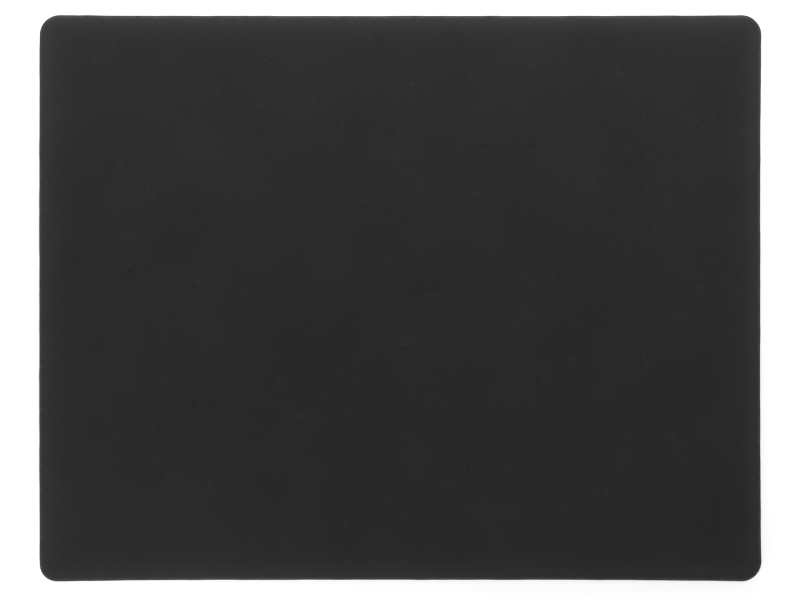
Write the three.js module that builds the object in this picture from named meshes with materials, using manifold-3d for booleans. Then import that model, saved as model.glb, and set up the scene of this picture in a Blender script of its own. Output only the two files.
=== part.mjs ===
// A soft mouse pad: knitted cloth, bonded by an adhesive film to a sheet of foamed rubber, cut out with a die.
// Millimetres, +Z up. The origin is on the desk, under the middle of the pad. X runs along the long side, and the
// front edge, nearest the user, is at -Y.

import * as THREE from "three";
import { mergeVertices } from "three/addons/utils/BufferGeometryUtils.js";
import Module from "manifold-3d";

// The outline at the foot of the cut edge, where the pad is widest, measured across its corners.
const PAD_LENGTH = 230;
const PAD_WIDTH = 180.5;
const CORNER_RADIUS = 6.4;

// The rubber springs back when the die lifts, so a side draws in between its corners. The left one bows out.
const FRONT_DRAW_IN = 0.5;
const RIGHT_DRAW_IN = 0.35;
const BACK_DRAW_IN = 0.25;
const LEFT_DRAW_IN = -0.15;
const DRAW_IN_POWER = 4; // high, so that a side is straight in the middle and bends near its corners

// The three layers, from the desk up.
const BASE_THICKNESS = 2.5;
const FILM_THICKNESS = 0.1;
const CLOTH_THICKNESS = 0.4;

// The die drags the face down beside the cut: a roll that every layer follows.
const ROLL_WIDTH = 5;
const ROLL_DROP = 0.55;
const ROLL_POWER = 3;
const CLOTH_EDGE_ROUND = 0.15; // where the roll meets the cut

// The cut wall of the rubber: sharp at its foot, where it is widest, and hollow on the way up.
const CUT_LEAN = 0.5;
const CUT_HOLLOW = 0.2;

// The tread: zigzag grooves along X, embossed in the sheet's underside before the die cuts through them.
const TREAD_PITCH = 4.9;
const GROOVE_MOUTH = 1.2;
const GROOVE_FLOOR = 0.9;
const GROOVE_DEPTH = 0.4;
const ZIGZAG_LEG = 12.7; // from one bend to the next, along X
const ZIGZAG_RISE = 4.5; // from one bend to the next, along Y
const CUT_OVERRUN = 1; // how far a cutter reaches past what it cuts

// How finely the curves are stepped.
const CORNER_STEPS = 8;
const SIDE_STEPS = 10;
const ROLL_STEPS = 5;
const WALL_STEPS = 4;
const ROUND_STEPS = 3;

// The heights of the layers' faces over the middle of the pad.
const BASE_TOP = BASE_THICKNESS;
const FILM_TOP = BASE_TOP + FILM_THICKNESS;
const CLOTH_TOP = FILM_TOP + CLOTH_THICKNESS;

const QUARTER_TURN = Math.PI / 2;
const lerp = THREE.MathUtils.lerp;
const steps = (count, make) => Array.from({ length: count }, (_, k) => make(k));

// The corners, anticlockwise from the front right: the signs of each one's place, the direction in which its
// arc starts, and how far the side that follows it draws in.
const CORNERS = [
  { x: 1, y: -1, start: -QUARTER_TURN, drawIn: RIGHT_DRAW_IN },
  { x: 1, y: 1, start: 0, drawIn: BACK_DRAW_IN },
  { x: -1, y: 1, start: QUARTER_TURN, drawIn: LEFT_DRAW_IN },
  { x: -1, y: -1, start: 2 * QUARTER_TURN, drawIn: FRONT_DRAW_IN },
];

const direction = (angle) => new THREE.Vector2(Math.cos(angle), Math.sin(angle));

// The arc of one corner of the outline, moved in by inset. Close to the edge its radius shrinks by the inset, as
// an offset's does, and further in it shrinks less and less, so that it never runs out.
function cornerArc({ x, y, start }, inset) {
  const radius = CORNER_RADIUS * Math.exp(-inset / CORNER_RADIUS);
  const reach = inset + radius;
  const centre = new THREE.Vector2(x * (PAD_LENGTH / 2 - reach), y * (PAD_WIDTH / 2 - reach));
  return steps(CORNER_STEPS + 1, (k) =>
    direction(start + (k / CORNER_STEPS) * QUARTER_TURN).multiplyScalar(radius).add(centre),
  );
}

// The points of the side between two arcs, closer together near its ends, where it bends.
function drawnSide(from, to, { start, drawIn }) {
  const outwards = direction(start + QUARTER_TURN);
  return steps(SIDE_STEPS - 1, (k) => {
    const across = -Math.cos(((k + 1) / SIDE_STEPS) * Math.PI);
    const pulled = drawIn * (1 - Math.abs(across) ** DRAW_IN_POWER);
    return from.clone().lerp(to, (1 + across) / 2).addScaledVector(outwards, -pulled);
  });
}

// The pad's outline, moved in by inset, as a ring of points at height z.
function ring(inset, z) {
  const arcs = CORNERS.map((corner) => cornerArc(corner, inset));
  const outline = CORNERS.flatMap((corner, n) => {
    const next = arcs[(n + 1) % arcs.length];
    return [...arcs[n], ...drawnSide(arcs[n].at(-1), next[0], corner)];
  });
  return { inset, points: outline.map((p) => new THREE.Vector3(p.x, p.y, z)) };
}

// A closed solid through a stack of rings, from the rim of its flat underside to the rim of its flat top.
// Each band between two rings is split along the same diagonals whichever way the stack runs, so that two layers
// that share a face meet exactly.
function loft(rings) {
  const count = rings[0].points.length;
  const faces = [];
  for (let r = 0; r < rings.length - 1; r++) {
    const widens = rings[r].inset > rings[r + 1].inset;
    for (let i = 0; i < count; i++) {
      const [a, b] = [r * count + i, r * count + ((i + 1) % count)];
      const [c, d] = [a + count, b + count];
      faces.push(...(widens ? [a, b, c, b, d, c] : [a, b, d, a, d, c]));
    }
  }
  const top = (rings.length - 1) * count;
  for (const [a, b, c] of THREE.ShapeUtils.triangulateShape(rings[0].points, [])) {
    faces.push(a, c, b);
  }
  for (const [a, b, c] of THREE.ShapeUtils.triangulateShape(rings.at(-1).points, [])) {
    faces.push(top + a, top + b, top + c);
  }
  const points = rings.flatMap((each) => each.points);
  return new THREE.BufferGeometry().setFromPoints(points).setIndex(faces);
}

// How far the roll has dropped at a distance in from the foot of the cut.
const rollDrop = (inset) => ROLL_DROP * (1 - inset / ROLL_WIDTH) ** ROLL_POWER;

// A rolled face that is at this height over the middle of the pad, from its outer edge to where the roll ends.
function rolledFace(height, edgeInset = CUT_LEAN) {
  return steps(ROLL_STEPS + 1, (k) => {
    const inset = lerp(edgeInset, ROLL_WIDTH, k / ROLL_STEPS);
    return ring(inset, height - rollDrop(inset));
  });
}

// The cloth: as thick in the roll as in the middle, and rounded where the roll meets the cut.
function clothShape() {
  const faceInset = CUT_LEAN + CLOTH_EDGE_ROUND;
  const shoulder = CLOTH_TOP - rollDrop(CUT_LEAN) - CLOTH_EDGE_ROUND;
  const rise = CLOTH_TOP - rollDrop(faceInset) - shoulder;
  const edge = steps(ROUND_STEPS, (k) => {
    const angle = (k / ROUND_STEPS) * QUARTER_TURN;
    return ring(faceInset - CLOTH_EDGE_ROUND * Math.cos(angle), shoulder + rise * Math.sin(angle));
  });
  return loft([...rolledFace(FILM_TOP).reverse(), ...edge, ...rolledFace(CLOTH_TOP, faceInset)]);
}

// The adhesive film follows the roll between the cloth and the rubber, and shows as a line along the cut.
function filmShape() {
  return loft([...rolledFace(BASE_TOP).reverse(), ...rolledFace(FILM_TOP)]);
}

// The cut wall of the rubber, from its foot up to just below the film.
function cutWall() {
  const wallTop = BASE_TOP - rollDrop(CUT_LEAN);
  return steps(WALL_STEPS, (k) => {
    const climb = k / WALL_STEPS;
    const hollow = CUT_HOLLOW * Math.sin(climb * Math.PI);
    return ring(CUT_LEAN * climb + hollow, wallTop * climb);
  });
}

// The solid that one zigzag groove about the line at y takes out of the rubber. Its walls keep their draft below
// the underside too, where they are cut off in the air.
function grooveShape(y) {
  const legs = 2 * Math.ceil((PAD_LENGTH / 2 + CUT_OVERRUN) / ZIGZAG_LEG) + 1;
  const bends = steps(legs + 1, (k) => ({
    x: (k - legs / 2) * ZIGZAG_LEG,
    y: y + (k % 2 ? -ZIGZAG_RISE : ZIGZAG_RISE) / 2,
  }));
  const band = (z) => {
    const halfWidth = lerp(GROOVE_MOUTH, GROOVE_FLOOR, z / GROOVE_DEPTH) / 2;
    const frontSide = bends.map((bend) => new THREE.Vector3(bend.x, bend.y - halfWidth, z));
    const backSide = bends.map((bend) => new THREE.Vector3(bend.x, bend.y + halfWidth, z));
    return { points: [...frontSide, ...backSide.reverse()] };
  };
  return loft([band(-CUT_OVERRUN), band(GROOVE_DEPTH)]);
}

const wasm = await Module();
wasm.setup();

// A closed geometry as a solid that can be cut, and a solid back as a geometry.
function toSolid(geometry) {
  const merged = mergeVertices(geometry);
  return new wasm.Manifold(
    new wasm.Mesh({
      numProp: 3,
      vertProperties: merged.attributes.position.array,
      triVerts: new Uint32Array(merged.index.array),
    }),
  );
}

function toGeometry(solid) {
  const { vertProperties, triVerts } = solid.getMesh();
  return new THREE.BufferGeometry()
    .setAttribute("position", new THREE.BufferAttribute(vertProperties, 3))
    .setIndex(new THREE.BufferAttribute(triVerts, 1));
}

// The foamed rubber: the cut block, with a tread that runs off it on every side, and a land along its middle.
function baseShape() {
  const block = toSolid(loft([...cutWall(), ...rolledFace(BASE_TOP)]));
  const reach = (PAD_WIDTH + ZIGZAG_RISE + GROOVE_MOUTH) / 2;
  const rows = 2 * Math.ceil(reach / TREAD_PITCH);
  const cutters = steps(rows, (k) => toSolid(grooveShape((k - (rows - 1) / 2) * TREAD_PITCH)));
  return toGeometry(cutters.reduce((left, cutter) => left.subtract(cutter), block));
}

const FOAMED_RUBBER = new THREE.MeshStandardMaterial({ color: "#1d1d1e", roughness: 0.85, metalness: 0 });
const ADHESIVE = new THREE.MeshStandardMaterial({ color: "#3b3a38", roughness: 0.35, metalness: 0 });
const KNITTED_CLOTH = new THREE.MeshStandardMaterial({ color: "#2b2b2b", roughness: 0.95, metalness: 0 });

function piece(name, geometry, material) {
  const mesh = new THREE.Mesh(geometry, material);
  mesh.name = name;
  geometry.computeVertexNormals();
  return mesh;
}

// Each layer is modelled where it lies, because it shares a face with its neighbour.
const mousePad = new THREE.Group();
mousePad.add(
  piece("foam_base", baseShape(), FOAMED_RUBBER),
  piece("bond_film", filmShape(), ADHESIVE),
  piece("cloth_top", clothShape(), KNITTED_CLOTH),
);

export default mousePad;
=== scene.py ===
"""The looks of a soft mouse pad: knitted cloth on an adhesive film on foamed rubber, cut out with a die.

Metres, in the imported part's frame: X along the long side, +Y towards the back edge, +Z up from the desk.
"""

import math

import bpy
import numpy as np
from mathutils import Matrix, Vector


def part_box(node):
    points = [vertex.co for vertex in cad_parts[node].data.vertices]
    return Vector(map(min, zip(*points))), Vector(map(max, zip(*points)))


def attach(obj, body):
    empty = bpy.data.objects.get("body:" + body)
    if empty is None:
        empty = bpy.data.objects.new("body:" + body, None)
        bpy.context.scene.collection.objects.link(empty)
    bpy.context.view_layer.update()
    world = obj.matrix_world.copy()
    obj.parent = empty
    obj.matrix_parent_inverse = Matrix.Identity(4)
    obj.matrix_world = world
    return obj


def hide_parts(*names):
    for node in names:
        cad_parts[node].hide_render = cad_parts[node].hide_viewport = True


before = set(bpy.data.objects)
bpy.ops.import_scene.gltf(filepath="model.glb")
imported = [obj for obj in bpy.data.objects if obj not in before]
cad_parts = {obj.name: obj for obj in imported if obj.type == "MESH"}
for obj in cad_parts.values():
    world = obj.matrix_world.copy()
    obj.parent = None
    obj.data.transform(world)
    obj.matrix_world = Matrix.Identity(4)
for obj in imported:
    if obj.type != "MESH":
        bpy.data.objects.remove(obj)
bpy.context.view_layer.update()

MM = 0.001

# Where the layers lie, from the frame.
base_low, base_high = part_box("foam_base")
HALF_LENGTH, HALF_WIDTH = base_high.x, base_high.y
DESK = base_low.z
BASE_TOP = base_high.z
FILM_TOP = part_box("bond_film")[1].z
CLOTH_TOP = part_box("cloth_top")[1].z

# The outline, the roll beside the cut, and the cut wall, as the solids have them. Only the front left
# corner is sharper than theirs, as it is in the photo.
CORNER_RADIUS = 6.4 * MM
FRONT_LEFT_RADIUS = 5.5 * MM
DRAW_IN = {"front": 0.5 * MM, "right": 0.35 * MM, "back": 0.25 * MM, "left": -0.15 * MM}
DRAW_IN_POWER = 4
ROLL_WIDTH = 5 * MM
ROLL_DROP = 0.55 * MM
ROLL_POWER = 3
CUT_LEAN = 0.5 * MM
CUT_HOLLOW = 0.2 * MM

# The corners, anticlockwise from the front left: the signs of each one's place, and its radius.
CORNERS = [
    (-1, -1, FRONT_LEFT_RADIUS),
    (1, -1, CORNER_RADIUS),
    (1, 1, CORNER_RADIUS),
    (-1, 1, CORNER_RADIUS),
]

# What the die leaves: a cut and a roll that wander a little. Each wave is how often it comes round the pad,
# how large it is, and where it starts as a share of a wave.
CUT_WANDER = [(13, 0.025 * MM, 0.1), (31, 0.025 * MM, 0.55), (57, 0.02 * MM, 0.8), (101, 0.015 * MM, 0.3)]
ROLL_WANDER = [(13, 0.12, 0.7), (31, 0.10, 0.2), (53, 0.08, 0.45)]
UPRIGHT_FOOT = 0.4  # below this share of its height the cut wall stands more upright than the solids'
FOOT_BEVEL = 0.05 * MM
FILM_BEAD = 0.03 * MM
CLOTH_EDGE_ROUND = 0.18 * MM
CLOTH_UPRIGHT = 0.45  # the share of its thickness over which the cut edge of the cloth is upright
PAINTED_EDGE_LIGHT_WIDTH = 18 * MM  # how far in from the cut the cloth is painted paler: painted light along the rolled edge
BOND_GAP = 0.004 * MM  # keeps faces that are glued together from lying in each other

# How the cloth sinks a little here and there, as it does on foam. Each wave is its length along X, its length
# along Y, its depth and its phase.
FACE_WAVES = [
    (83 * MM, 61 * MM, 0.045 * MM, 0.3),
    (47 * MM, 92 * MM, 0.035 * MM, 1.7),
    (-58 * MM, 39 * MM, 0.03 * MM, 4.1),
    (31 * MM, -27 * MM, 0.012 * MM, 2.6),
]
FACE_WAVES_POWER = 8  # high, so that the waves reach almost to the roll before they fade out

# The tread under the base: the solids' zigzag grooves, with the rounded bends, shoulders and floors of
# embossed rubber.
TREAD_PITCH = 4.9 * MM
GROOVE_MOUTH = 1.2 * MM
GROOVE_FLOOR = 0.9 * MM
GROOVE_DEPTH = 0.4 * MM
ZIGZAG_LEG = 12.7 * MM
ZIGZAG_RISE = 4.5 * MM
BEND_SHARPNESS = 0.93  # 0 is a sine wave, 1 a sharp zigzag
LEG_SHARES = [0, 0.05, 0.1, 0.16, 0.25, 0.5, 0.75, 0.84, 0.9, 0.95]  # a leg's points, most in its bends
SHOULDER_ROUND = 0.15 * MM
FLOOR_ROUND = 0.12 * MM
CUT_OVERRUN = 2 * MM  # how far past the pad the shape that cuts a groove has to reach

# The stubs of yarn along the cut. The line that they stand on lies this deep in the cloth's cut edge, and
# this far below the middle of it.
YARN_SUNK = 0.09 * MM
YARN_BELOW_MIDDLE = 0.04 * MM
YARN_ENDS = {
    "Spacing": 0.3 * MM,
    "Thickness": 0.17 * MM,
    "Tip share": 0.3,
    "Length": 0.16 * MM,
    "Shortest share": 0.6,
    "Longest share": 1.25,
    "Scatter": 0.09 * MM,
    "Unruliness": 0.6,
    "Seed": 7,
}

# How finely it is made. The outline's points are those in half a corner, along a long side and along a short
# side, and a grid of quads across the pad has one column or row for each.
OUTLINE_STEPS = (8, 144, 112)
GRID = (2 * OUTLINE_STEPS[0] + OUTLINE_STEPS[1], 2 * OUTLINE_STEPS[0] + OUTLINE_STEPS[2])
GRID_ROUNDS = 400  # how often the grid is evened out
FLAT_STEP = 4  # how many steps of the grid one face of a flat side takes in
LAYER_STEPS = 8  # across the roll, on every face but the cloth's upper one
FACE_STEPS = 12  # across the roll, on the cloth's upper face
STEPS_CROWDING = 1.5  # above 1, the steps across the roll come closer together near the edge
CLOTH_EDGE_STEPS = 5
WALL_STEPS = 16

# By how many degrees a surface has to turn for its edge to stay sharp.
LAYER_CREASE = 50
TREAD_CREASE = 20

# The table, open under the pad. It shows this share of its shadow at each distance out from the foot of the
# cut, so that the shadow is plain only right beside the pad, as in the photo.
SHADOW_FADE = {0: 1, 1.2 * MM: 0.6, 10 * MM: 0.4, 80 * MM: 0}
TABLE_HOLE_INSET = 6 * MM
TABLE_RADIUS = 3
TABLE_BELOW_DESK = 0.01 * MM

# The camera, over a frame this wide on the table. The middle of the pad lies a little to the right of the
# middle of the frame, and above it.
FRAME_WIDTH = 255 * MM
PAD_RIGHT = 0.18 * MM
PAD_UP = 0.55 * MM
LENS_MM = 135
SENSOR_MM = 36


def outline(inset):
    """The outline moved in by inset, as complex numbers, anticlockwise from the middle of the first corner.

    Close to the edge a corner's radius shrinks by the inset, and further in it shrinks less and less, so that
    it never runs out.
    """
    corner_steps, long_steps, short_steps = OUTLINE_STEPS
    arcs = []
    for x, y, edge_radius in CORNERS:
        radius = edge_radius * math.exp(-inset / edge_radius)
        reach = inset + radius
        arcs.append((complex(x * (HALF_LENGTH - reach), y * (HALF_WIDTH - reach)), radius))
    half_corner = np.linspace(0, math.pi / 4, corner_steps, endpoint=False)
    points = []
    for n, draw_in in enumerate(DRAW_IN.values()):
        outwards = (n - 1) * math.pi / 2
        share = np.linspace(0, 1, short_steps if n % 2 else long_steps, endpoint=False)
        pull = draw_in * (1 - np.abs(2 * share - 1) ** DRAW_IN_POWER)
        start, start_radius = arcs[n]
        end, end_radius = arcs[(n + 1) % len(arcs)]
        out = start_radius + (end_radius - start_radius) * share - pull
        points.append(start + start_radius * np.exp(1j * (outwards - math.pi / 4 + half_corner)))
        points.append(start + (end - start) * share + out * np.exp(1j * outwards))
        points.append(end + end_radius * np.exp(1j * (outwards + half_corner)))
    return np.concatenate(points)


def outwards_at(points):
    """The outward direction at each point of a ring of complex numbers."""
    tangent = np.roll(points, -1) - np.roll(points, 1)
    return -1j * tangent / np.abs(tangent)


def way_round():
    """How far round the foot of the cut each point of a ring is, as a share of the whole way."""
    foot = outline(0)
    steps = np.abs(np.roll(foot, -1) - foot)
    return (np.cumsum(steps) - steps) / steps.sum()


def wander(waves):
    """The sum of a table's waves at each point of a ring."""
    return sum(size * np.sin(2 * math.pi * (count * way_round() + start)) for count, size, start in waves)


def roll_drop(inset):
    """How far the roll has dropped at a distance in from the foot of the cut."""
    return ROLL_DROP * (1 - inset / ROLL_WIDTH) ** ROLL_POWER


def ring(inset, height, roll=0):
    """The outline at one inset, with the wander of the cut, and with its height less a share of the roll.

    Each point is x, y, z and its inset, which the cloth's finish reads.
    """
    flat = outline(inset)
    flat = flat + outwards_at(flat) * wander(CUT_WANDER) * (1 - inset / ROLL_WIDTH)
    drop = roll * roll_drop(inset) * (1 + wander(ROLL_WANDER))
    return np.stack([flat.real, flat.imag, height - drop, np.full(len(flat), inset)], axis=1)


def rolled_face(height, first_inset, steps):
    """The rings of a rolled face from its edge to where the roll ends, closer together near the edge."""
    shares = (np.arange(steps + 1) / steps) ** STEPS_CROWDING
    return [ring(first_inset + (ROLL_WIDTH - first_inset) * share, height, roll=1) for share in shares]


def grid_inside(edge):
    """A smooth grid of points inside a ring, which is its border."""
    nx, ny = GRID
    front, right = edge[: nx + 1], edge[nx : nx + ny + 1]
    back = edge[nx + ny : 2 * nx + ny + 1][::-1]
    left = np.concatenate([edge[2 * nx + ny :], edge[:1]])[::-1]
    u = np.linspace(0, 1, nx + 1)[:, None, None]
    v = np.linspace(0, 1, ny + 1)[None, :, None]
    corners = (1 - u) * ((1 - v) * front[0] + v * back[0]) + u * ((1 - v) * front[-1] + v * back[-1])
    grid = (1 - v) * front[:, None] + v * back[:, None] + (1 - u) * left[None] + u * right[None] - corners
    for _ in range(GRID_ROUNDS):
        grid[1:-1, 1:-1] = (grid[:-2, 1:-1] + grid[2:, 1:-1] + grid[1:-1, :-2] + grid[1:-1, 2:]) / 4
    return grid


def grid_faces(first_on_ring, first_inside, step):
    """Faces over such a grid, from every step-th line to the next, by their corners' vertex numbers.

    The points of the border have their numbers in the order of the ring, and those inside come row by row.
    A face on the border takes every point of it.
    """
    nx, ny = GRID
    border = first_on_ring + np.arange(2 * (nx + ny))
    numbers = np.zeros((nx + 1, ny + 1), int)
    numbers[:-1, 0] = border[:nx]
    numbers[-1, :-1] = border[nx : nx + ny]
    numbers[:0:-1, -1] = border[nx + ny : 2 * nx + ny]
    numbers[0, :0:-1] = border[2 * nx + ny :]
    inside = numbers[step:-1:step, step:-1:step]
    inside[...] = first_inside + np.arange(inside.size).reshape(inside.shape)
    faces = []
    for i in range(0, nx, step):
        for j in range(0, ny, step):
            sides = [
                (numbers[i : i + step, j], j == 0),
                (numbers[i + step, j : j + step], i + step == nx),
                (numbers[i + step : i : -1, j + step], j + step == ny),
                (numbers[i, j + step : j : -1], i == 0),
            ]
            faces.append([int(n) for side, on_border in sides for n in (side if on_border else side[:1])])
    return faces


def bands(rings):
    """The quads between each ring of a stack and the next, by their corners' vertex numbers."""
    here = np.arange(len(rings) * len(rings[0])).reshape(len(rings), -1)
    ahead = np.roll(here, -1, axis=1)
    return np.stack([here[:-1], ahead[:-1], ahead[1:], here[1:]], axis=-1).reshape(-1, 4).tolist()


def new_object(name, data):
    """An object at the origin that shows this mesh, lamp or camera."""
    made = bpy.data.objects.new(name, data)
    bpy.context.scene.collection.objects.link(made)
    return made


def new_piece(name, points, faces, edges=()):
    """An object with a mesh of these points, faces and loose edges."""
    mesh = bpy.data.meshes.new(name)
    mesh.from_pydata(points, edges, faces)
    mesh.update()
    return new_object(name, mesh)


def lofted(name, rings, top=None):
    """A closed piece through a stack of rings, with a flat underside, and the grid given or a flat top."""
    top_step = 1
    if top is None:
        top = grid_inside(rings[-1])
        top_step = FLAT_STEP
    underside = grid_inside(rings[0])[FLAT_STEP:-1:FLAT_STEP, FLAT_STEP:-1:FLAT_STEP].reshape(-1, 4)
    top = top[top_step:-1:top_step, top_step:-1:top_step].reshape(-1, 4)
    walls = np.concatenate(rings)
    faces = bands(rings)
    faces += [corners[::-1] for corners in grid_faces(0, len(walls), FLAT_STEP)]
    faces += grid_faces(len(walls) - len(rings[-1]), len(walls) + len(underside), top_step)
    points = np.concatenate([walls, underside, top])
    piece = new_piece(name, points[:, :3].tolist(), faces)
    from_cut = piece.data.attributes.new("from_cut", "FLOAT", "POINT")
    from_cut.data.foreach_set("value", points[:, 3])
    return piece


def smooth(piece, crease_degrees):
    """Smooth shading, with a crease wherever the surface turns by more than the angle given."""
    piece.data.shade_smooth()
    piece.data.set_sharp_from_angle(angle=math.radians(crease_degrees))


def add(tree, kind, inputs=None, **settings):
    """Adds a node with its settings. inputs gives a socket, by its name or number, a value or another node's
    output. A node stands for the first of its outputs that is in use."""
    node = tree.nodes.new(kind)
    for name, value in settings.items():
        setattr(node, name, value)
    for name, source in (inputs or {}).items():
        if isinstance(source, bpy.types.Node):
            source = next(output for output in source.outputs if output.enabled)
        if isinstance(source, bpy.types.NodeSocket):
            tree.links.new(source, node.inputs[name])
        else:
            node.inputs[name].default_value = source
    return node


def new_tree(name, inputs):
    """A Geometry Nodes tree with these named inputs after its geometry, and their sockets inside it."""
    tree = bpy.data.node_groups.new(name, "GeometryNodeTree")
    tree.interface.new_socket("Geometry", in_out="INPUT", socket_type="NodeSocketGeometry")
    tree.interface.new_socket("Geometry", in_out="OUTPUT", socket_type="NodeSocketGeometry")
    for label, kind in inputs.items():
        tree.interface.new_socket(label, in_out="INPUT", socket_type=kind)
    return tree, add(tree, "NodeGroupInput").outputs


def shaped_by(piece, tree, values):
    """Runs a tree on a piece and leaves the result as the piece's own plain mesh."""
    modifier = piece.modifiers.new(tree.name, "NODES")
    modifier.node_group = tree
    for item in tree.interface.items_tree:
        if item.in_out == "INPUT" and item.name in values:
            modifier[item.identifier] = values[item.name]
    depsgraph = bpy.context.evaluated_depsgraph_get()
    mesh = bpy.data.meshes.new_from_object(piece.evaluated_get(depsgraph))
    piece.modifiers.remove(modifier)
    piece.data = mesh


def colour(hex_code):
    """An sRGB hex colour as the linear colour that a shader takes."""
    channels = [int(hex_code[i : i + 2], 16) / 255 for i in (1, 3, 5)]
    return (*[c / 12.92 if c <= 0.04045 else ((c + 0.055) / 1.055) ** 2.4 for c in channels], 1)


def new_material(name):
    """A material, and its tree, which is empty."""
    material = bpy.data.materials.new(name)
    material.use_nodes = True
    material.node_tree.nodes.clear()
    return material, material.node_tree


def jersey_cloth():
    """Polyester jersey, knitted fine, dyed black and pressed on. To the eye it is matt and nearly even, with
    faint clouds where the knit is tighter, a few slubs, and here and there some wales that stand up from the
    rest. Towards the cut it is painted paler, as painted light along the rolled edge, with a thin painted
    highlight along the cut itself."""
    material, tree = new_material("polyester_jersey_dyed_black")
    place = add(tree, "ShaderNodeTexCoord").outputs["Object"]

    # The real stitches are 0.35 mm wide. They are drawn three times as coarse, so that they show. Each is a
    # V: side runs from 0 along the middle of a wale to 1 between two wales, and both legs climb on the way.
    wale, course, leg_climb = 1.05 * MM, 0.8 * MM, 0.9
    stitches = add(tree, "ShaderNodeMapping", {"Vector": place, "Scale": (2 / wale, 1 / course, 1)})
    split = add(tree, "ShaderNodeSeparateXYZ", {"Vector": stitches})
    side = add(tree, "ShaderNodeMath", {0: split.outputs["X"], 1: 1}, operation="PINGPONG")
    across = add(tree, "ShaderNodeMath", {0: side, 1: math.pi}, operation="MULTIPLY")
    leg = add(tree, "ShaderNodeMath", {0: across}, operation="SINE")
    climbing = add(
        tree, "ShaderNodeMath", {0: side, 1: leg_climb, 2: split.outputs["Y"]}, operation="MULTIPLY_ADD"
    )
    along = add(tree, "ShaderNodeMath", {0: climbing, 1: math.pi}, operation="MULTIPLY")
    wave = add(tree, "ShaderNodeMath", {0: along}, operation="SINE")
    loop = add(tree, "ShaderNodeMath", {0: wave}, operation="ABSOLUTE")
    stitch = add(tree, "ShaderNodeMath", {0: leg, 1: loop}, operation="MULTIPLY")

    cloud_width, grain_width = 26 * MM, 0.9 * MM
    clouds = add(
        tree, "ShaderNodeTexNoise", {"Vector": place, "Scale": 1 / cloud_width, "Detail": 3, "Roughness": 0.5}
    )
    grain = add(
        tree, "ShaderNodeTexNoise", {"Vector": place, "Scale": 1 / grain_width, "Detail": 2, "Roughness": 0.6}
    )
    # Slubs are short thick places in the yarn, and lie along the courses.
    slub_width = 1.5 * MM
    slub_place = add(tree, "ShaderNodeMapping", {"Vector": place, "Scale": (0.6, 1, 1)})
    slubs = add(
        tree,
        "ShaderNodeTexNoise",
        {"Vector": slub_place, "Scale": 1 / slub_width, "Detail": 1, "Roughness": 0.4},
    )
    pale_slub = add(
        tree,
        "ShaderNodeMapRange",
        {"Value": slubs, "From Min": 0.68, "From Max": 0.8, "To Min": 0, "To Max": 0.35},
    )
    dark_slub = add(
        tree,
        "ShaderNodeMapRange",
        {"Value": slubs, "From Min": 0.32, "From Max": 0.2, "To Min": 0, "To Max": -0.3},
    )
    # In some patches the gaps between the wales are open, and the wales stand up.
    patch_width = 4.5 * MM
    patches = add(
        tree, "ShaderNodeTexNoise", {"Vector": place, "Scale": 1 / patch_width, "Detail": 1, "Roughness": 0.5}
    )
    raised = add(
        tree,
        "ShaderNodeMapRange",
        {"Value": patches, "From Min": 0.66, "From Max": 0.78, "To Min": 0, "To Max": 0.4},
    )
    standing = add(tree, "ShaderNodeMath", {0: side, 1: raised}, operation="MULTIPLY")

    # The stitch pattern makes the crests of the knit lighter and its valleys darker: a faint painted shade.
    shade = 0.15
    for pattern, weight in (
        (clouds, 0.45),
        (stitch, 0.1),
        (grain, 0.16),
        (pale_slub, 1),
        (dark_slub, 1),
        (standing, 1),
    ):
        shade = add(tree, "ShaderNodeMath", {0: pattern, 1: weight, 2: shade}, operation="MULTIPLY_ADD")
    body = add(
        tree,
        "ShaderNodeMix",
        {"Factor": shade, "A": colour("#1e1e1e"), "B": colour("#343434")},
        data_type="RGBA",
    )

    # Painted light: the cloth is painted paler and paler towards the cut, with a thin painted highlight
    #     along the cut, broken here and there.
    rim_start, rim_end = 0.85 * MM, 1.2 * MM
    from_cut = add(tree, "ShaderNodeAttribute", attribute_name="from_cut").outputs["Fac"]
    near_cut = add(
        tree,
        "ShaderNodeMapRange",
        {"Value": from_cut, "From Min": PAINTED_EDGE_LIGHT_WIDTH, "From Max": CUT_LEAN, "To Min": 0, "To Max": 1},
    )
    rise = add(tree, "ShaderNodeMath", {0: near_cut, 1: 4}, operation="POWER")
    band = add(tree, "ShaderNodeMath", {0: rise, 1: 0.32}, operation="MULTIPLY")
    rim = add(
        tree,
        "ShaderNodeMapRange",
        {"Value": from_cut, "From Min": rim_start, "From Max": rim_end, "To Min": 1, "To Max": 0},
    )
    breaks = add(
        tree,
        "ShaderNodeMapRange",
        {"Value": slubs, "From Min": 0.3, "From Max": 0.6, "To Min": 0.15, "To Max": 0.55},
    )
    line = add(tree, "ShaderNodeMath", {0: rim, 1: breaks}, operation="MULTIPLY")
    painted_edge_light = add(tree, "ShaderNodeMath", {0: band, 1: line}, operation="ADD")
    # The paler grey that the painted edge light and the painted highlight mix in.
    cloth_with_painted_edge_light = add(
        tree, "ShaderNodeMix", {"Factor": painted_edge_light, "A": body, "B": colour("#4d4d4d")}, data_type="RGBA"
    )

    roughness = add(
        tree,
        "ShaderNodeMapRange",
        {"Value": grain, "From Min": 0.3, "From Max": 0.7, "To Min": 0.84, "To Max": 0.98},
    )
    bump = add(tree, "ShaderNodeBump", {"Strength": 0.25, "Distance": 0.04 * MM, "Height": stitch})
    surface = add(
        tree,
        "ShaderNodeBsdfPrincipled",
        {
            "Base Color": cloth_with_painted_edge_light,
            "Roughness": roughness,
            "Specular IOR Level": 0.1,
            "Sheen Weight": 0.06,
            "Sheen Roughness": 0.5,
            "Sheen Tint": colour("#a0a0a0"),
            "Normal": bump,
        },
    )
    add(tree, "ShaderNodeOutputMaterial", {"Surface": surface})
    return material


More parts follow.
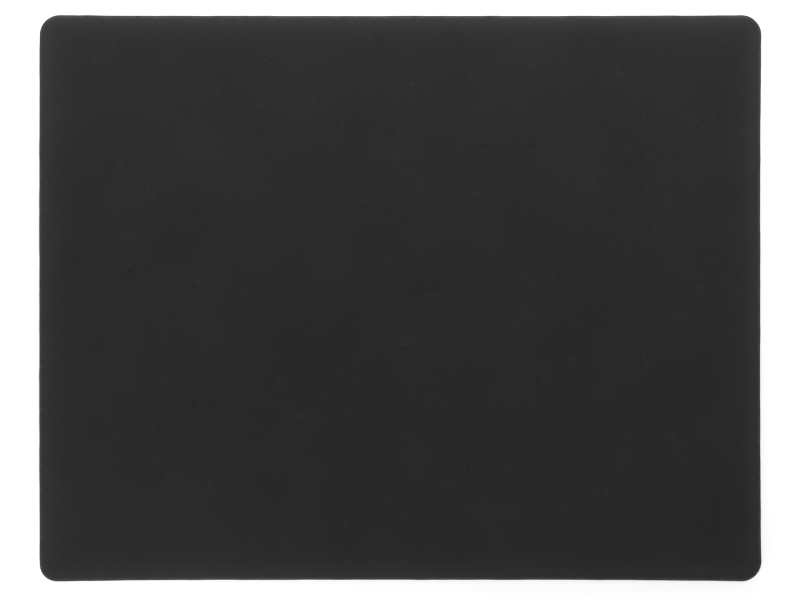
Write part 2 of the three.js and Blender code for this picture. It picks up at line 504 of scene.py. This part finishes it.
def cut_yarn():
    """The ends of the cut polyester yarn, whose core took less dye: pale grey stubs, matt and fibrous."""
    material, tree = new_material("polyester_yarn_cut_ends")
    place = add(tree, "ShaderNodeTexCoord").outputs["Object"]
    # The filaments of the yarn are 0.02 mm thick. They are drawn as coarse as the stubs can show.
    fibre = 0.12 * MM
    fibres = add(tree, "ShaderNodeTexNoise", {"Vector": place, "Scale": 1 / fibre, "Detail": 2})
    shade = add(
        tree,
        "ShaderNodeMix",
        {"Factor": fibres, "A": colour("#303030"), "B": colour("#626262")},
        data_type="RGBA",
    )
    bump = add(tree, "ShaderNodeBump", {"Strength": 0.4, "Distance": 0.02 * MM, "Height": fibres})
    surface = add(
        tree,
        "ShaderNodeBsdfPrincipled",
        {"Base Color": shade, "Roughness": 0.9, "Specular IOR Level": 0.1, "Normal": bump},
    )
    add(tree, "ShaderNodeOutputMaterial", {"Surface": surface})
    return material


def hot_melt_film():
    """Polyurethane hot-melt film, pressed between the layers: a thin grey line along the cut, with a slight
    shine."""
    material, tree = new_material("hot_melt_adhesive_film")
    place = add(tree, "ShaderNodeTexCoord").outputs["Object"]
    # The die drags the film into short streaks.
    streak_length = 2 * MM
    streaks = add(tree, "ShaderNodeTexNoise", {"Vector": place, "Scale": 1 / streak_length, "Detail": 2})
    shade = add(
        tree,
        "ShaderNodeMix",
        {"Factor": streaks, "A": colour("#262524"), "B": colour("#4c4a47")},
        data_type="RGBA",
    )
    roughness = add(
        tree,
        "ShaderNodeMapRange",
        {"Value": streaks, "From Min": 0.3, "From Max": 0.7, "To Min": 0.3, "To Max": 0.5},
    )
    surface = add(
        tree, "ShaderNodeBsdfPrincipled", {"Base Color": shade, "Roughness": roughness, "IOR": 1.5}
    )
    add(tree, "ShaderNodeOutputMaterial", {"Surface": surface})
    return material


def moulded_skin():
    """Foamed natural rubber with the skin that the embossing roll leaves: black, closed, with a low sheen, a
    fine orange peel and the grey bloom of rubber."""
    material, tree = new_material("foamed_natural_rubber_embossed_skin")
    place = add(tree, "ShaderNodeTexCoord").outputs["Object"]
    peel_width, bloom_width = 0.55 * MM, 17 * MM
    peel = add(
        tree, "ShaderNodeTexNoise", {"Vector": place, "Scale": 1 / peel_width, "Detail": 3, "Roughness": 0.6}
    )
    bloom = add(
        tree, "ShaderNodeTexNoise", {"Vector": place, "Scale": 1 / bloom_width, "Detail": 4, "Roughness": 0.6}
    )
    both = add(tree, "ShaderNodeMath", {0: peel, 1: 0.4, 2: bloom}, operation="MULTIPLY_ADD")
    level = add(
        tree,
        "ShaderNodeMapRange",
        {"Value": both, "From Min": 0.45, "From Max": 0.95, "To Min": 0, "To Max": 1},
    )
    shade = add(
        tree,
        "ShaderNodeMix",
        {"Factor": level, "A": colour("#161617"), "B": colour("#28282a")},
        data_type="RGBA",
    )
    roughness = add(
        tree,
        "ShaderNodeMapRange",
        {"Value": both, "From Min": 0.45, "From Max": 0.95, "To Min": 0.5, "To Max": 0.72},
    )
    bump = add(tree, "ShaderNodeBump", {"Strength": 0.7, "Distance": 0.06 * MM, "Height": peel})
    surface = add(
        tree,
        "ShaderNodeBsdfPrincipled",
        {
            "Base Color": shade,
            "Roughness": roughness,
            "IOR": 1.52,
            "Specular IOR Level": 0.3,
            "Normal": bump,
        },
    )
    add(tree, "ShaderNodeOutputMaterial", {"Surface": surface})
    return material


def cut_foam():
    """Foamed natural rubber where the die cut it: the cells lie open as pits, painted dark as painted shade,
    in a dull, blacker wall, with streaks up and down it from the blade."""
    material, tree = new_material("foamed_natural_rubber_cut_open")
    place = add(tree, "ShaderNodeTexCoord").outputs["Object"]
    cell_width, streak_width = 0.16 * MM, 0.7 * MM
    cells = add(tree, "ShaderNodeTexVoronoi", {"Vector": place, "Scale": 1 / cell_width}, feature="F1")
    pits = add(
        tree,
        "ShaderNodeMapRange",
        {"Value": cells.outputs["Distance"], "From Min": 0.15, "From Max": 0.5, "To Min": 0, "To Max": 1},
    )
    upright = add(tree, "ShaderNodeMapping", {"Vector": place, "Scale": (1, 1, 0.15)})
    streaks = add(tree, "ShaderNodeTexNoise", {"Vector": upright, "Scale": 1 / streak_width, "Detail": 2})
    # Painted shade: the open cells are painted dark, as the shade that falls in the pits.
    both = add(tree, "ShaderNodeMath", {0: pits, 1: streaks}, operation="MULTIPLY")
    shade = add(
        tree,
        "ShaderNodeMix",
        {"Factor": both, "A": colour("#070707"), "B": colour("#2b2b2c")},
        data_type="RGBA",
    )
    bump = add(tree, "ShaderNodeBump", {"Strength": 0.7, "Distance": 0.06 * MM, "Height": pits})
    roughness = add(
        tree,
        "ShaderNodeMapRange",
        {"Value": streaks, "From Min": 0.3, "From Max": 0.7, "To Min": 0.75, "To Max": 0.95},
    )
    surface = add(
        tree,
        "ShaderNodeBsdfPrincipled",
        {
            "Base Color": shade,
            "Roughness": roughness,
            "IOR": 1.52,
            "Specular IOR Level": 0.1,
            "Normal": bump,
        },
    )
    add(tree, "ShaderNodeOutputMaterial", {"Surface": surface})
    return material


def sunk_by(grid):
    """How far the cloth has sunk at each point of a grid: not at all on its border, and never upwards."""
    u = np.linspace(-1, 1, grid.shape[0])[:, None]
    v = np.linspace(-1, 1, grid.shape[1])[None, :]
    depth = sum(
        size * (1 + np.sin(2 * math.pi * (grid[..., 0] / along + grid[..., 1] / across) + phase))
        for along, across, size, phase in FACE_WAVES
    )
    return depth * (1 - u**FACE_WAVES_POWER) * (1 - v**FACE_WAVES_POWER)


def cloth_face(finish):
    """The cloth: rolled down beside the cut, rounded over it, and sunk a little here and there."""
    under = rolled_face(FILM_TOP + BOND_GAP, CUT_LEAN, LAYER_STEPS)[::-1]
    upper = rolled_face(CLOTH_TOP, CUT_LEAN + CLOTH_EDGE_ROUND, FACE_STEPS)
    wall_foot, crown = under[-1], upper[0]
    wall_top = wall_foot + (0, 0, CLOTH_UPRIGHT * (CLOTH_TOP - FILM_TOP), 0)
    edge = []
    for angle in np.linspace(0, math.pi / 2, CLOTH_EDGE_STEPS, endpoint=False):
        inwards, up = 1 - math.cos(angle), math.sin(angle)
        edge.append(wall_top + (crown - wall_top) * (inwards, inwards, up, inwards))
    grid = grid_inside(upper[-1])
    grid[..., 2] -= sunk_by(grid)
    to_side = np.minimum(HALF_LENGTH - np.abs(grid[..., 0]), HALF_WIDTH - np.abs(grid[..., 1]))
    grid[..., 3] = np.maximum(to_side, ROLL_WIDTH)
    piece = lofted("cloth_face", [*under, *edge, *upper], grid)
    smooth(piece, LAYER_CREASE)
    piece.data.materials.append(finish)
    return piece


def adhesive_film(finish):
    """The film: it follows the roll, and a bead of it stands out along the cut."""
    under = rolled_face(BASE_TOP + BOND_GAP, CUT_LEAN, LAYER_STEPS)[::-1]
    upper = rolled_face(FILM_TOP - BOND_GAP, CUT_LEAN, LAYER_STEPS)
    bead = (under[-1] + upper[0]) / 2
    outwards = outwards_at(bead[:, 0] + 1j * bead[:, 1]) * FILM_BEAD
    bead[:, 0] += outwards.real
    bead[:, 1] += outwards.imag
    piece = lofted("adhesive_film", [*under, bead, *upper])
    smooth(piece, LAYER_CREASE)
    piece.data.materials.append(finish)
    return piece


def groove_cutter():
    """The shape of one groove: a zigzag with rounded bends, rounded at its shoulders and along its floor."""
    legs = math.ceil((HALF_LENGTH + CUT_OVERRUN) / ZIGZAG_LEG)
    x = np.array([(k + 0.5 + share) * ZIGZAG_LEG for k in range(-legs - 1, legs) for share in LEG_SHARES])
    swing = np.arcsin(BEND_SHARPNESS * np.sin(math.pi * x / ZIGZAG_LEG)) / math.asin(BEND_SHARPNESS)
    y = swing * ZIGZAG_RISE / 2

    def wall(z):
        """How far a wall is from the middle of the groove, at a height above its mouth."""
        return (GROOVE_MOUTH + (GROOVE_FLOOR - GROOVE_MOUTH) * z / GROOVE_DEPTH) / 2

    floor_foot = GROOVE_DEPTH - FLOOR_ROUND
    land_edge = np.array([wall(0) + SHOULDER_ROUND, 0])
    shoulder = np.array([wall(SHOULDER_ROUND / 3) + SHOULDER_ROUND / 3, SHOULDER_ROUND / 3])
    # Half of the section, from below the underside, where the shoulder runs on into the air, to the floor.
    half = [
        2 * land_edge - shoulder,
        shoulder,
        (wall(SHOULDER_ROUND), SHOULDER_ROUND),
        (wall(floor_foot), floor_foot),
        (wall(GROOVE_DEPTH) - FLOOR_ROUND, GROOVE_DEPTH),
    ]
    section = [*half, *[(-across, up) for across, up in half[::-1]]]
    sections = [[(px, py + across, DESK + up) for across, up in section] for px, py in zip(x, y)]
    points = [point for each in sections for point in each]
    first_end = list(range(len(section)))[::-1]
    last_end = list(range(len(points) - len(section), len(points)))
    return new_piece("groove_cutter", points, [first_end, last_end, *bands(sections)])


def tread_tree():
    """Cuts rows of grooves, side by side across the pad, out of a block, and gives the skin and the cut wall
    their finishes."""
    kinds = {
        "Groove": "NodeSocketObject",
        "Pitch": "NodeSocketFloat",
        "Rows": "NodeSocketInt",
        "Skin": "NodeSocketMaterial",
        "Cut wall": "NodeSocketMaterial",
    }
    tree, given = new_tree("embossed_tread", kinds)
    gaps = add(tree, "ShaderNodeMath", {0: given["Rows"], 1: 1}, operation="SUBTRACT")
    span = add(tree, "ShaderNodeMath", {0: gaps, 1: given["Pitch"]}, operation="MULTIPLY")
    front = add(tree, "ShaderNodeMath", {0: span, 1: -0.5}, operation="MULTIPLY")
    start = add(tree, "ShaderNodeCombineXYZ", {"Y": front})
    step = add(tree, "ShaderNodeCombineXYZ", {"Y": given["Pitch"]})
    line = add(
        tree, "GeometryNodeMeshLine", {"Count": given["Rows"], "Start Location": start, "Offset": step}
    )
    groove = add(tree, "GeometryNodeObjectInfo", {"Object": given["Groove"]})
    grooves = add(
        tree, "GeometryNodeInstanceOnPoints", {"Points": line, "Instance": groove.outputs["Geometry"]}
    )
    cutters = add(tree, "GeometryNodeRealizeInstances", {"Geometry": grooves})
    cut = add(
        tree,
        "GeometryNodeMeshBoolean",
        {"Mesh 1": given["Geometry"], "Mesh 2": cutters},
        operation="DIFFERENCE",
        solver="MANIFOLD",
    )
    realised = add(tree, "GeometryNodeRealizeInstances", {"Geometry": cut})
    skinned = add(tree, "GeometryNodeSetMaterial", {"Geometry": realised, "Material": given["Skin"]})
    die_cut = add(tree, "GeometryNodeInputNamedAttribute", {"Name": "die_cut"}, data_type="BOOLEAN")
    finished = add(
        tree,
        "GeometryNodeSetMaterial",
        {"Geometry": skinned, "Selection": die_cut, "Material": given["Cut wall"]},
    )
    add(tree, "NodeGroupOutput", {"Geometry": finished})
    return tree


def foam_rubber_base(skin, cut_wall):
    """The foamed rubber: a hollow cut wall, and the embossed tread that the die has cut through. The wall is
    nearly upright as far up as the grooves reach, so that their ends don't notch the outline from above."""
    top = BASE_TOP - BOND_GAP
    foot, wall_top = DESK + FOOT_BEVEL, top - roll_drop(CUT_LEAN)
    wall = []
    for climb in np.linspace(0, 1, WALL_STEPS, endpoint=False):
        lean = CUT_LEAN * climb + CUT_HOLLOW * math.sin(climb * math.pi)
        lean *= min(1, climb / UPRIGHT_FOOT) ** 2
        wall.append(ring(lean, foot + (wall_top - foot) * climb))
    upper = rolled_face(top, CUT_LEAN, LAYER_STEPS)
    piece = lofted("foam_rubber_base", [ring(FOOT_BEVEL, DESK), *wall, *upper])
    wall_faces = (len(wall) + 1) * len(upper[0])
    die_cut = piece.data.attributes.new("die_cut", "BOOLEAN", "FACE")
    die_cut.data.foreach_set("value", np.arange(len(piece.data.polygons)) < wall_faces)
    cutter = groove_cutter()
    rows = 2 * math.ceil((HALF_WIDTH + ZIGZAG_RISE) / TREAD_PITCH)
    values = {"Groove": cutter, "Pitch": TREAD_PITCH, "Rows": rows, "Skin": skin, "Cut wall": cut_wall}
    shaped_by(piece, tread_tree(), values)
    bpy.data.objects.remove(cutter)
    smooth(piece, TREAD_CREASE)
    return piece


def yarn_end_tree():
    """Sets a short stub of yarn on a line at every stitch, pointing out of it, no two quite alike."""
    kinds = {
        "Spacing": "NodeSocketFloat",
        "Thickness": "NodeSocketFloat",
        "Tip share": "NodeSocketFloat",
        "Length": "NodeSocketFloat",
        "Shortest share": "NodeSocketFloat",
        "Longest share": "NodeSocketFloat",
        "Scatter": "NodeSocketFloat",
        "Unruliness": "NodeSocketFloat",
        "Seed": "NodeSocketInt",
        "Material": "NodeSocketMaterial",
    }
    tree, given = new_tree("cut_yarn_ends", kinds)
    seed = given["Seed"]
    line = add(tree, "GeometryNodeMeshToCurve", {"Mesh": given["Geometry"]})
    stations = add(
        tree, "GeometryNodeCurveToPoints", {"Curve": line, "Length": given["Spacing"]}, mode="LENGTH"
    )

    # A random number lies between inputs 2 and 3 of its node.
    drop = add(tree, "ShaderNodeMath", {0: given["Scatter"], 1: -1}, operation="MULTIPLY")
    level = add(tree, "FunctionNodeRandomValue", {2: drop, 3: given["Scatter"], "Seed": seed})
    lift = add(tree, "ShaderNodeCombineXYZ", {"Z": level})
    points = add(tree, "GeometryNodeSetPosition", {"Geometry": stations.outputs["Points"], "Offset": lift})

    out = add(
        tree,
        "ShaderNodeVectorMath",
        {0: stations.outputs["Tangent"], 1: (0, 0, 1)},
        operation="CROSS_PRODUCT",
    )
    stray = add(
        tree,
        "FunctionNodeRandomValue",
        {"Min": (-1, -1, -1), "Max": (1, 1, 1), "Seed": seed},
        data_type="FLOAT_VECTOR",
    )
    loose = add(tree, "ShaderNodeVectorMath", {0: stray, "Scale": given["Unruliness"]}, operation="SCALE")
    aim = add(tree, "ShaderNodeVectorMath", {0: out, 1: loose}, operation="ADD")
    turn = add(tree, "FunctionNodeAlignRotationToVector", {"Vector": aim}, axis="Z")

    radius = add(tree, "ShaderNodeMath", {0: given["Thickness"], 1: 0.5}, operation="MULTIPLY")
    tip = add(tree, "ShaderNodeMath", {0: given["Thickness"], 1: given["Tip share"]}, operation="MULTIPLY")
    stub = add(
        tree,
        "GeometryNodeMeshCone",
        {
            "Vertices": 6,
            "Side Segments": 2,
            "Radius Top": tip,
            "Radius Bottom": radius,
            "Depth": given["Length"],
        },
    )
    growth = add(
        tree,
        "FunctionNodeRandomValue",
        {2: given["Shortest share"], 3: given["Longest share"], "Seed": seed},
    )
    ends = add(
        tree,
        "GeometryNodeInstanceOnPoints",
        {"Points": points, "Instance": stub.outputs["Mesh"], "Rotation": turn, "Scale": growth},
    )
    realised = add(tree, "GeometryNodeRealizeInstances", {"Geometry": ends})
    finished = add(tree, "GeometryNodeSetMaterial", {"Geometry": realised, "Material": given["Material"]})
    add(tree, "NodeGroupOutput", {"Geometry": finished})
    return tree


def cut_yarn_ends(finish):
    """The stitches that the die cut through, as stubs along the edge of the cloth."""
    middle = (FILM_TOP + CLOTH_TOP) / 2
    line = ring(CUT_LEAN + YARN_SUNK, middle - YARN_BELOW_MIDDLE, roll=1)[:, :3]
    count = len(line)
    edges = [(i, (i + 1) % count) for i in range(count)]
    piece = new_piece("cut_yarn_ends", line.tolist(), [], edges)
    shaped_by(piece, yarn_end_tree(), {**YARN_ENDS, "Material": finish})
    piece.data.shade_smooth()
    return piece


def to_the_eye(tree):
    """1 for what the eye sees, straight on, in a reflection or through glass, and 0 for what light meets."""
    path = add(tree, "ShaderNodeLightPath").outputs
    seen = path["Is Camera Ray"]
    for ray in ("Is Glossy Ray", "Is Transmission Ray"):
        seen = add(tree, "ShaderNodeMath", {0: seen, 1: path[ray]}, operation="MAXIMUM")
    return seen


def table_finish(name, glows):
    """A white table top that hides nothing from below and casts no shadow. Where it glows it looks nearly
    white whatever falls on it, and keeps a faint shadow, which the attribute shadow_share fades out. Where it
    doesn't, light passes through it from both sides, so that it takes none from the tread."""
    material, tree = new_material(name)
    top = add(tree, "ShaderNodeBsdfDiffuse", {"Color": colour("#e0e0e0")})
    passing = ["Is Shadow Ray", "Is Diffuse Ray", "Is Glossy Ray"]
    if glows:
        passing = ["Is Shadow Ray"]
        # The glow is all that a full shadow leaves, and the light on the table adds the rest.
        shadowed = add(tree, "ShaderNodeBsdfDiffuse", {"Color": (0.6, 0.6, 0.6, 1)})
        glow = add(tree, "ShaderNodeEmission", {"Color": (1, 1, 1, 1), "Strength": 0.66})
        near = add(tree, "ShaderNodeAddShader", {0: shadowed, 1: glow})
        white = add(tree, "ShaderNodeEmission", {"Color": (1, 1, 1, 1), "Strength": 1})
        share = add(tree, "ShaderNodeAttribute", attribute_name="shadow_share").outputs["Fac"]
        shown = add(tree, "ShaderNodeMixShader", {0: share, 1: white, 2: near})
        top = add(tree, "ShaderNodeMixShader", {0: to_the_eye(tree), 1: top, 2: shown})
    path = add(tree, "ShaderNodeLightPath").outputs
    passed = add(tree, "ShaderNodeNewGeometry").outputs["Backfacing"]
    for ray in passing:
        passed = add(tree, "ShaderNodeMath", {0: passed, 1: path[ray]}, operation="MAXIMUM")
    clear = add(tree, "ShaderNodeBsdfTransparent")
    surface = add(tree, "ShaderNodeMixShader", {0: passed, 1: top, 2: clear})
    add(tree, "ShaderNodeOutputMaterial", {"Surface": surface})
    return material


def white_table():
    """The table top, open under the pad so that the tread can be seen and lit from below. The strip of it
    that is left under the pad doesn't glow, so that the ends of the grooves look dark."""
    foot = outline(0)
    far_edge = TABLE_RADIUS * np.exp(1j * np.angle(foot))
    beside_pad = [foot + out * outwards_at(foot) for out in SHADOW_FADE]
    rings = [far_edge, *beside_pad[::-1], outline(TABLE_HOLE_INSET)]
    shares = [0, *list(SHADOW_FADE.values())[::-1], 1]
    points = [(p.real, p.imag, DESK - TABLE_BELOW_DESK) for p in np.concatenate(rings)]
    table = new_piece("table_top", points, bands(rings))
    mesh = table.data
    shadow_share = mesh.attributes.new("shadow_share", "FLOAT", "POINT")
    shadow_share.data.foreach_set("value", np.repeat(shares, len(foot)).astype(float))
    mesh.materials.append(table_finish("white_table_top", glows=True))
    mesh.materials.append(table_finish("white_table_under_the_pad", glows=False))
    under_the_pad = np.arange(len(mesh.polygons)) >= len(mesh.polygons) - len(foot)
    mesh.polygons.foreach_set("material_index", under_the_pad.astype(int))


def white_tent(strength):
    """White all round: to the eye at full strength, and as light at the strength given."""
    world = bpy.data.worlds.new("white_tent")
    bpy.context.scene.world = world
    world.use_nodes = True
    tree = world.node_tree
    tree.nodes.clear()
    light = add(tree, "ShaderNodeBackground", {"Color": (1, 1, 1, 1), "Strength": strength})
    white = add(tree, "ShaderNodeBackground", {"Color": (1, 1, 1, 1), "Strength": 1})
    tent = add(tree, "ShaderNodeMixShader", {0: to_the_eye(tree), 1: light, 2: white})
    add(tree, "ShaderNodeOutputWorld", {"Surface": tent})


def soft_panel(name, place, size, watts):
    """A soft light panel of that width and height, turned to the middle of the pad."""
    light = bpy.data.lights.new(name, "AREA")
    light.shape = "RECTANGLE"
    light.size, light.size_y = size
    light.energy = watts
    lamp = new_object(name, light)
    lamp.location = place
    lamp.rotation_euler = (-Vector(place)).to_track_quat("-Z", "Y").to_euler()
    lamp.visible_camera = False


def camera_above():
    """The camera straight above the pad, with +Y up in its picture."""
    lens = bpy.data.cameras.new("camera_above")
    lens.lens = LENS_MM
    lens.sensor_width = SENSOR_MM
    lens.clip_start, lens.clip_end = 0.01, 20
    camera = new_object("camera_above", lens)
    camera.location = (-PAD_RIGHT, -PAD_UP, FRAME_WIDTH * LENS_MM / SENSOR_MM)
    bpy.context.scene.camera = camera


cloth = cloth_face(jersey_cloth())
film = adhesive_film(hot_melt_film())
base = foam_rubber_base(moulded_skin(), cut_foam())
yarn_ends = cut_yarn_ends(cut_yarn())

SLOTS = {cloth: "knitted_cloth", yarn_ends: "knitted_cloth", film: "adhesive_film", base: "foamed_rubber"}
for piece, slot in SLOTS.items():
    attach(piece, "root")
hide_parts("cloth_top")
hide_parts("bond_film")
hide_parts("foam_base")

white_table()
white_tent(strength=0.11)
soft_panel("overhead", place=(-0.1, 0.1, 1.2), size=(1.2, 0.9), watts=0.78)
soft_panel("behind", place=(0, 0.24, 0.1), size=(0.5, 0.14), watts=0.89)
soft_panel("left", place=(-0.27, 0, 0.1), size=(0.36, 0.14), watts=0.24)
soft_panel("right", place=(0.25, 0, 0.1), size=(0.36, 0.14), watts=0.22)
soft_panel("front_left", place=(-0.07, -0.21, 0.08), size=(0.25, 0.1), watts=0.2)
soft_panel("under_the_table", place=(0.2, -0.6, -0.5), size=(0.5, 0.3), watts=6)
camera_above()

bpy.context.scene.view_settings.view_transform = "Standard"
